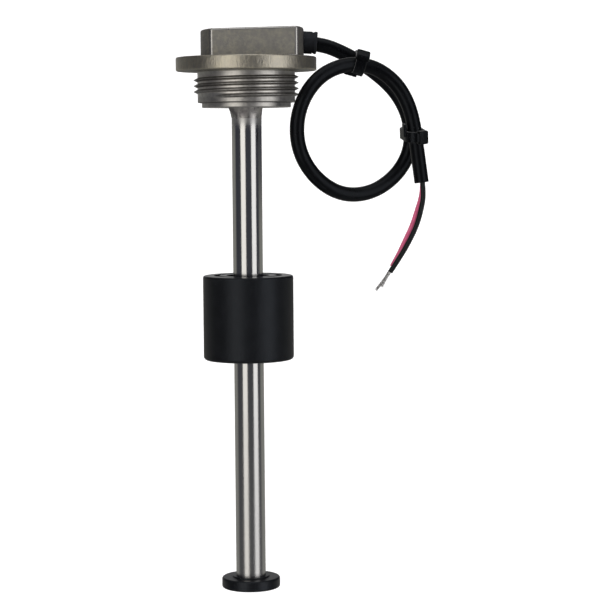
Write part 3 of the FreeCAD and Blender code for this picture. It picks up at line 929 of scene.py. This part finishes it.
moulded_black("float_rubber", tone=0.0034, rough=0.34, shine=0.30, grain_size=0.35 * mm,
              grain_height=0.04 * mm, smooth_from=float_high.z)
float_piece = mesh_object("float", turned([
    (float_bore, float_recess_roof, float_groove_radius),
    (float_recess_radius, float_recess_roof, float_groove_radius),
    (float_recess_radius, float_low.z, float_lip_radius), (float_radius, float_low.z, float_bottom_edge),
    (float_radius, float_high.z, float_top_edge), (float_ring_outer, float_high.z, float_groove_radius),
    (float_ring_outer, float_ring_floor, float_groove_radius),
    (float_ring_inner, float_ring_floor, float_groove_radius),
    (float_ring_inner, float_high.z, float_groove_radius),
    (float_recess_radius, float_high.z, float_lip_radius),
    (float_recess_radius, float_recess_floor, float_groove_radius),
    (float_bore, float_recess_floor, float_groove_radius), (float_bore, magnet_high.z, 0),
    (magnet_pocket_radius, magnet_high.z, 0), (magnet_pocket_radius, magnet_low.z, 0),
    (float_bore, magnet_low.z, 0),
]), ["float_rubber"])
stand_for(float_piece, "float_body", "float")
print("float:", len(float_piece.data.polygons), "faces")

# %% End stop
stop_low, stop_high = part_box("end_stop")
stop_radius = stop_high.x
stop_edge_radius = 0.8 * mm
stop_collar_radius = 7.45 * mm
stop_collar_height = 0.5 * mm
stop_top = stop_high.z - stop_collar_height
stop_seat_radius = stem_radius + fit_clearance
stop_bore_radius = 3.55 * mm
stop_pocket_radius = 6.4 * mm
stop_pocket_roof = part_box("end_stop_clip")[1].z
stop_small_radius = 0.3 * mm

moulded_black("stop_plastic", tone=0.0034, rough=0.28, shine=0.33, grain_size=0.6 * mm,
              grain_height=0.05 * mm)
stop = mesh_object("end_stop", turned([
    (stop_bore_radius, stop_pocket_roof, 0), (stop_pocket_radius, stop_pocket_roof, 0),
    (stop_pocket_radius, stop_low.z, stop_small_radius), (stop_radius, stop_low.z, stop_edge_radius),
    (stop_radius, stop_top, stop_edge_radius), (stop_collar_radius, stop_top, stop_small_radius),
    (stop_collar_radius, stop_high.z, stop_small_radius), (stop_seat_radius, stop_high.z, 0),
    (stop_seat_radius, stem_low.z, 0), (stop_bore_radius, stem_low.z, 0),
]), ["stop_plastic"])
stand_for(stop, "end_stop")
print("end stop:", len(stop.data.polygons), "faces")

# %% [markdown]
# ## Cable bush
# A rubber bush keeps the cable from bending sharply where it leaves the boss. It is turned about its own
# axis. The weight of the cable pulls its nose down and turns its end. A bend modifier could do that, but the
# nose is short and stiff, so it is enough to shear its points.

# %% Bush
bush_bore_radius = 3.0 * mm
bush_nose_radius = 4.45 * mm
bush_nose_end = 28.4 * mm
bush_nose_edge = 0.6 * mm
bush_mouth_edge = 0.3 * mm
bush_groove_radius = 4.15 * mm
bush_groove_end = 27.1 * mm
bush_groove_start = 26.4 * mm
bush_droop = 0.05
bush_lean = 0.09

moulded_black("bush_rubber", tone=0.0080, rough=0.45, shine=0.27, grain_size=0.4 * mm,
              grain_height=0.05 * mm)
bush = along_bush(turned([
    (bush_bore_radius, cavity_right, 0), (bush_neck_radius, cavity_right, 0),
    (bush_neck_radius, bush_seat_x, 0), (bush_nose_radius, bush_seat_x, 0),
    (bush_nose_radius, bush_groove_start, 0),
    (bush_groove_radius, bush_groove_start, 0), (bush_groove_radius, bush_groove_end, 0),
    (bush_nose_radius, bush_groove_end, 0), (bush_nose_radius, bush_nose_end, bush_nose_edge),
    (bush_bore_radius, bush_nose_end, bush_mouth_edge),
]))
for vert in bush.verts:
    out = max(0.0, vert.co.x - bush_seat_x)
    vert.co.x += bush_lean * (vert.co.z - bush_axis_height) * out / (bush_nose_end - bush_seat_x)
    vert.co.z -= bush_droop * out
bush_piece = stand_for(mesh_object("cable_bush", bush, ["bush_rubber"]), "cable_bush")
print("bush:", len(bush_piece.data.polygons), "faces")

# %% [markdown]
# ## Cable ties
# Two nylon ties hold the loop. Each is a flat band round two strands, a locking head with the slot that
# the band runs through, and the cut-off tail. Each part is simple on its own, so the three are made flat at
# the origin, laid on the cable by one matrix and united. The spline touches the middle of each run of its
# route and follows that run there, so the tie takes its place and its axes from two runs.

# %% Band of a tie
tie_width = 4.2 * mm
tie_thickness = 1.1 * mm
tie_clearance = 0.3 * mm
tie_band_edge = 0.25 * mm
tie_band_segments = 2
tie_round_steps = 16
tie_outer = cable_radius + tie_clearance + tie_thickness


def tie_band(span):
    """A flat band round two strands that lie `span` apart on the X axis."""
    bm = bmesh.new()
    ends = []
    for side in (1, -1):
        first = bm.verts.new((side * span / 2, -side * tie_outer, -tie_width / 2))
        centre = (side * span / 2, 0, -tie_width / 2)
        ends += [first, arc(bm, first, centre, math.pi, tie_round_steps)]
    bm.edges.new((ends[1], ends[2]))
    bm.edges.new((ends[3], ends[0]))
    disc = bmesh.ops.contextual_create(bm, geom=bm.edges[:])["faces"][0]
    rim = bmesh.ops.inset_region(bm, faces=[disc], thickness=tie_thickness, use_boundary=True,
                                 use_even_offset=True)["faces"]
    bmesh.ops.delete(bm, geom=[disc], context="FACES_ONLY")
    raised = bmesh.ops.extrude_face_region(bm, geom=rim)["geom"]
    bmesh.ops.translate(bm, verts=verts_in(raised), vec=(0, 0, tie_width))
    clean(bm)
    rims = [e for e in bm.edges if e.calc_face_angle() > math.radians(sharp_angle_deg)]
    bevel(bm, rims, tie_band_edge, "EDGES", tie_band_segments)
    return bm


print("outer radius of a tie's band in mm:", round(tie_outer / mm, 2))

# %% Head and tail of a tie
tie_head_size = Vector((4.2, 2.6, 5.4)) * mm
tie_head_edge = 0.6 * mm
tie_head_segments = 3
tie_slot_wall = 0.9 * mm
tie_slot_depth = 0.5 * mm
tie_slot_side_facing = 0.9
tie_tail_size = Vector((2.6, 1.3, 5.1)) * mm
tie_tail_drop = 0.7 * mm


def block(size, edge, middle):
    """A block with rounded edges."""
    bm = bmesh.new()
    bmesh.ops.create_cube(bm, size=1)
    bmesh.ops.scale(bm, verts=bm.verts, vec=size)
    bmesh.ops.translate(bm, verts=bm.verts, vec=middle)
    bevel(bm, bm.edges[:], edge, "EDGES", tie_head_segments)
    return bm


def tie_head(span, turn_deg):
    """The locking head, turned round the front strand, with the mouth of its slot sunk on both sides."""
    bm = block(tie_head_size, tie_head_edge, (0, tie_outer + (tie_head_size.y - tie_thickness) / 2, 0))
    bm.normal_update()
    facing = [f for f in bm.faces if abs(f.normal.x) > tie_slot_side_facing]
    sides = [f for f in facing if f.calc_area() > (2 * tie_head_edge) ** 2]
    bmesh.ops.inset_individual(bm, faces=sides, thickness=tie_slot_wall, depth=-tie_slot_depth)
    bmesh.ops.rotate(bm, verts=bm.verts, matrix=Matrix.Rotation(math.radians(turn_deg), 3, "Z"))
    bmesh.ops.translate(bm, verts=bm.verts, vec=(-span / 2, 0, 0))
    return bm


def tie_tail(span):
    """The end of the strap, which lies along the front strand opposite the head."""
    middle = (-span / 2, tie_tail_size.y / 2 - tie_outer - tie_tail_drop, -tie_tail_size.z / 2)
    return block(tie_tail_size, tie_band_edge, middle)


print("locking head in mm:", [round(v / mm, 1) for v in tie_head_size])

# %% Ties on the cable


def make_tie(name, node, runs, slide, lean_deg, tip_deg, head_turn_deg):
    """A tie round two runs of the cable's route, moved along them, leant sideways and tipped forwards."""
    points = [Vector(place) * mm for place in cable_route]
    ways = [(points[run + 1] - points[run]).normalized() for run in runs]
    middles = [(points[run] + points[run + 1]) / 2 + way * slide for run, way in zip(runs, ways)]
    along = (ways[0] + ways[1]).normalized()
    across = middles[0] - middles[1]
    across -= along * across.dot(along)
    span = across.length / math.cos(math.radians(tip_deg))
    across.normalize()
    along = Matrix.Rotation(math.radians(lean_deg), 3, across) @ along
    side = along.cross(across)
    tip = Matrix.Rotation(math.radians(tip_deg), 3, side)
    pose = Matrix((tip @ across, side, tip @ along)).transposed().to_4x4()
    pose.translation = (middles[0] + middles[1]) / 2
    parts = [tie_band(span), tie_head(span, head_turn_deg), tie_tail(span)]
    for bm in parts:
        bmesh.ops.transform(bm, verts=bm.verts, matrix=pose)
    tie = mesh_object(name, parts[0], ["tie_nylon"])
    for bm in parts[1:]:
        boolean(tie, mesh_object("tie_part", bm, ["tie_nylon"]), "UNION")
    return stand_for(tie, node)


moulded_black("tie_nylon", tone=0.0016, rough=0.17, shine=0.17, grain_size=0.8 * mm,
              grain_height=0.04 * mm)
upper_tie = make_tie("upper_tie", "upper_cable_tie", runs=(2, 15), slide=-2.2 * mm, lean_deg=-6, tip_deg=0,
                     head_turn_deg=30)
lower_tie = make_tie("lower_tie", "lower_cable_tie", runs=(5, 18), slide=0.5 * mm, lean_deg=0, tip_deg=12,
                     head_turn_deg=70)
print("ties:", len(upper_tie.data.polygons), len(lower_tie.data.polygons), "faces")

# %% [markdown]
# ## Stripped wire ends
# Each bare end is a twist of seven tinned strands, one in the middle and six round it. A rod with a twisted
# bump would pass from far off, but its tip would be a plain cut. So the route's spline is read back as
# points, and each strand is a thin bevelled line that winds round them. Towards the tip the strands loosen
# and end at uneven lengths. Dark spots on the tin are painted shade, standing in for the shadows between
# the strands.

# %% Tin


def tinned_strands():
    shader, place = new_finish("tinned_strands", {"Metallic": 1.0})
    # Dark spots of painted shade, standing in for the shadows between the strands
    shade_spots = place.noise(0.5 * mm, 3.0)
    feed(shader, {
        "Base Color": shade_spots.ramp(0.42, 0.62).between((0.95, 0.945, 0.94), (0.32, 0.315, 0.31)),
        "Roughness": 0.28 + 0.25 * shade_spots,
    })


tinned_strands()
print("nodes in tinned_strands:", len(finishes["tinned_strands"].node_tree.nodes))

# %% Where a strand runs
strand_radius = 0.17 * mm
strand_twists = 1.6
strand_flare = 0.35
strand_missing_points = (0, 3, 1, 4, 0, 2, 1)
wound_strands = len(strand_missing_points) - 1


def route_points(route):
    """Points along the route's own smooth spline, read from a curve without bevel."""
    line = route_curve("route_line", route, strand_radius)
    line.data.bevel_depth = 0
    mesh = bpy.data.meshes.new_from_object(line)
    points = [vert.co.copy() for vert in mesh.vertices]
    bpy.data.objects.remove(line)
    bpy.data.meshes.remove(mesh)
    return points


def strand_place(line, number, strand):
    """Where a strand passes one of the line's points. The last strand is the straight one in the middle."""
    share = number / (len(line) - 1)
    forward = (line[min(number + 1, len(line) - 1)] - line[max(number - 1, 0)]).normalized()
    side = forward.cross(z_axis).normalized()
    angle = math.tau * (strand / wound_strands + strand_twists * share)
    reach = 2 * strand_radius * (1 + strand_flare * share ** 3) if strand < wound_strands else 0
    return line[number] + reach * (side * math.cos(angle) + forward.cross(side) * math.sin(angle))


print("strands wound round the middle one:", wound_strands)

# %% Strands
strand_round_steps = 3


def make_strands(name, route, node):
    """The strands of one bare end, each shorter than the line by its missing points."""
    line = route_points(route)
    piece = new_curve(name, strand_round_steps)
    for strand, missing in enumerate(strand_missing_points):
        places = [strand_place(line, number, strand) for number in range(len(line) - missing)]
        add_spline(piece.data, "POLY", places, strand_radius)
    piece.data.materials.append(finishes["tinned_strands"])
    return stand_for(piece, node)


red_strands = make_strands("red_wire_strands", red_conductor_route, "red_conductor")
black_strands = make_strands("black_wire_strands", black_conductor_route, "black_conductor")
print("strands of each wire:", len(red_strands.data.splines), len(black_strands.data.splines))

# %% [markdown]
# ## Pieces inside
# The plug and the clip at the foot show from below, and the switches, the board, the magnet and the resin
# only when someone takes the sender apart. Their CAD shapes are fine enough to keep, so they only get
# finishes of their own: one mottled recipe with other colours and sheen.

# %% Finishes of the CAD nodes that stay


def inner_finish(name, colour, other, size, rough, metallic=0.0, transmission=0.0):
    """A plain finish with a little mottling."""
    shader, place = new_finish(name, {"Metallic": metallic, "Transmission Weight": transmission})
    mottle = place.noise(size, 3.0)
    feed(shader, {
        "Base Color": mottle.between(colour, other),
        "Roughness": rough + 0.12 * mottle,
        "Normal": mottle.bump(0.02 * mm, 0.5),
    })


inner_finish("magnet_ferrite", (0.05, 0.05, 0.05), (0.09, 0.09, 0.09), 0.5 * mm, rough=0.5, metallic=0.6)
inner_finish("board_laminate", (0.03, 0.16, 0.06), (0.05, 0.22, 0.09), 1.5 * mm, rough=0.4)
inner_finish("switch_glass", (0.7, 0.85, 0.75), (0.8, 0.9, 0.82), 2 * mm, rough=0.05, transmission=0.8)
inner_finish("resistor_ceramic", (0.02, 0.02, 0.02), (0.04, 0.04, 0.04), 0.4 * mm, rough=0.45)
inner_finish("potting_resin", (0.02, 0.02, 0.022), (0.035, 0.035, 0.04), 4 * mm, rough=0.2)
inside = {
    "tube_end_plug": "turned_steel", "end_stop_clip": "turned_steel", "float_magnet": "magnet_ferrite",
    "reed_board": "board_laminate", "reed_switches": "switch_glass", "board_resistors": "resistor_ceramic",
    "head_potting": "potting_resin", "red_inner_lead": "red_insulation",
    "black_inner_lead": "black_insulation",
}
for node, finish in inside.items():
    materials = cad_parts[node].data.materials
    materials.clear()
    materials.append(finishes[finish])
print("CAD nodes that stay:", len(inside), "finishes:", len(finishes))

# %% [markdown]
# ## Free cords
# The cable and its two wires are the flexible parts. Their lengths are those of the photograph, where the
# cable is seen from end to end. All three end bare.

# %% [markdown]
# ## Floor
# The sender hangs free, as in its tank, well above a pale floor that curves up into a wall all round. A flat
# floor would show its edge from some sides, while this bowl keeps the background white from every side and
# takes no shadow. It glows a little, so that it stays white far from the lights, and it is kept out of
# mirror reflections, so that the metal still sees the dark room.

# %% Floor
floor_drop = 0.88
floor_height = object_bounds()[0][2] - floor_drop
floor_wall_radius = 2.8
floor_wall_height = 3.0
floor_bend = 0.7


def pale_floor():
    shader, place = new_finish("pale_floor", {
        "Roughness": 0.9, "Specular IOR Level": 0.1, "Emission Strength": 0.35,
        "Emission Color": (1, 1, 1, 1),
    })
    tone = place.noise(0.3, 2.0)
    feed(shader, {"Base Color": tone.between((0.90, 0.90, 0.90), (0.93, 0.93, 0.93))})


pale_floor()
floor = mesh_object("floor", turned([
    (0, floor_height, 0), (floor_wall_radius, floor_height, floor_bend),
    (floor_wall_radius, floor_height + floor_wall_height, 0),
], False), ["pale_floor"])
floor.visible_glossy = False
print("floor at", round(floor_height, 4))

# %% [markdown]
# ## Softboxes
# The photograph is a white studio shot with two tall softboxes in front, left and right of the camera, and
# dark room between and beside them: that is what draws the two bright stripes and the dark bands on the
# stem. Point lights would make thin hard glints there, so each lamp is a rectangle of the size that its
# stripe asks for. A third one above lights the top of the flange and the float.

# %% Softboxes
light_aim = Vector((0, 0, -80)) * mm


def softbox(name, azimuth_deg, elevation_deg, distance, width, height, radiance, colour):
    """A rectangular light that faces the sender. Azimuth 0 is the camera's side, positive to the right."""
    data = bpy.data.lights.new(name, "AREA")
    data.shape = "RECTANGLE"
    data.size = width
    data.size_y = height
    data.energy = radiance * math.pi * width * height
    data.color = colour
    azimuth, elevation = math.radians(azimuth_deg), math.radians(elevation_deg)
    away = Vector((math.sin(azimuth) * math.cos(elevation), -math.cos(azimuth) * math.cos(elevation),
                   math.sin(elevation)))
    light = bpy.data.objects.new(name, data)
    light.matrix_world = (Matrix.Translation(light_aim + distance * away)
                          @ away.to_track_quat("Z", "Y").to_matrix().to_4x4())
    light.visible_camera = False
    scene.collection.objects.link(light)


softbox("left_softbox", azimuth_deg=-30, elevation_deg=4, distance=1.7, width=1.11, height=2.3, radiance=1.2,
        colour=(1.0, 0.97, 0.91))
softbox("right_softbox", azimuth_deg=53, elevation_deg=4, distance=1.7, width=1.11, height=2.3, radiance=1.2,
        colour=(1.0, 0.99, 0.98))
softbox("top_softbox", azimuth_deg=10, elevation_deg=78, distance=1.1, width=1.0, height=0.8, radiance=0.85,
        colour=(1.0, 1.0, 1.0))

# %% [markdown]
# ## Room
# Polished metal shows its surroundings more than its own colour. The room could be modelled, but a world
# whose colour follows the direction does the same with a few ramps: dark round the sender, a grey wall
# behind it, a pale table from about the height of the plate downwards, and a dim ceiling and floor. An
# upright tube mirrors each height of the room at that height, so the table lights the edges of the stem. On
# the right the table starts lower, because there the real stem stays dark for its first centimetres.

# %% Room
room = bpy.data.worlds.new("studio_room")
room.use_nodes = True
scene.world = room
background = room.node_tree.nodes["Background"]
background.inputs["Strength"].default_value = 1.0
direction = Signal(room.node_tree.nodes.new("ShaderNodeTexCoord").outputs["Generated"])
aside, ahead, up = direction.part(0), direction.part(1), direction.part(2)
low_down = up.ramp(-0.05, -0.20)
dark_room = low_down.between((0.046, 0.048, 0.061), (0.105, 0.106, 0.110))
back_wall = (ahead.ramp(0.65, 0.95) * aside.ramp(0.40, 0.12)).between(dark_room, (0.40, 0.40, 0.40))
table_top = low_down.between((0.27, 0.27, 0.25), (0.34, 0.34, 0.32))
table = (ahead.ramp(0.00, 0.35) * up.ramp(-0.40, -0.25)).between(dark_room, table_top)
below_edge = (up + 0.045 * aside.ramp(-0.1, 0.2)).ramp(0.030, 0.012)
glow = below_edge.between(back_wall, table)
glow = up.ramp(0.50, 0.80).between(glow, (0.26, 0.26, 0.26))
glow = up.ramp(-0.55, -0.85).between(glow, (0.30, 0.30, 0.29))
feed(background, {"Color": glow})
scene.view_settings.view_transform = "Standard"
print("room:", len(room.node_tree.nodes), "nodes")

# %% [markdown]
# ## Finish
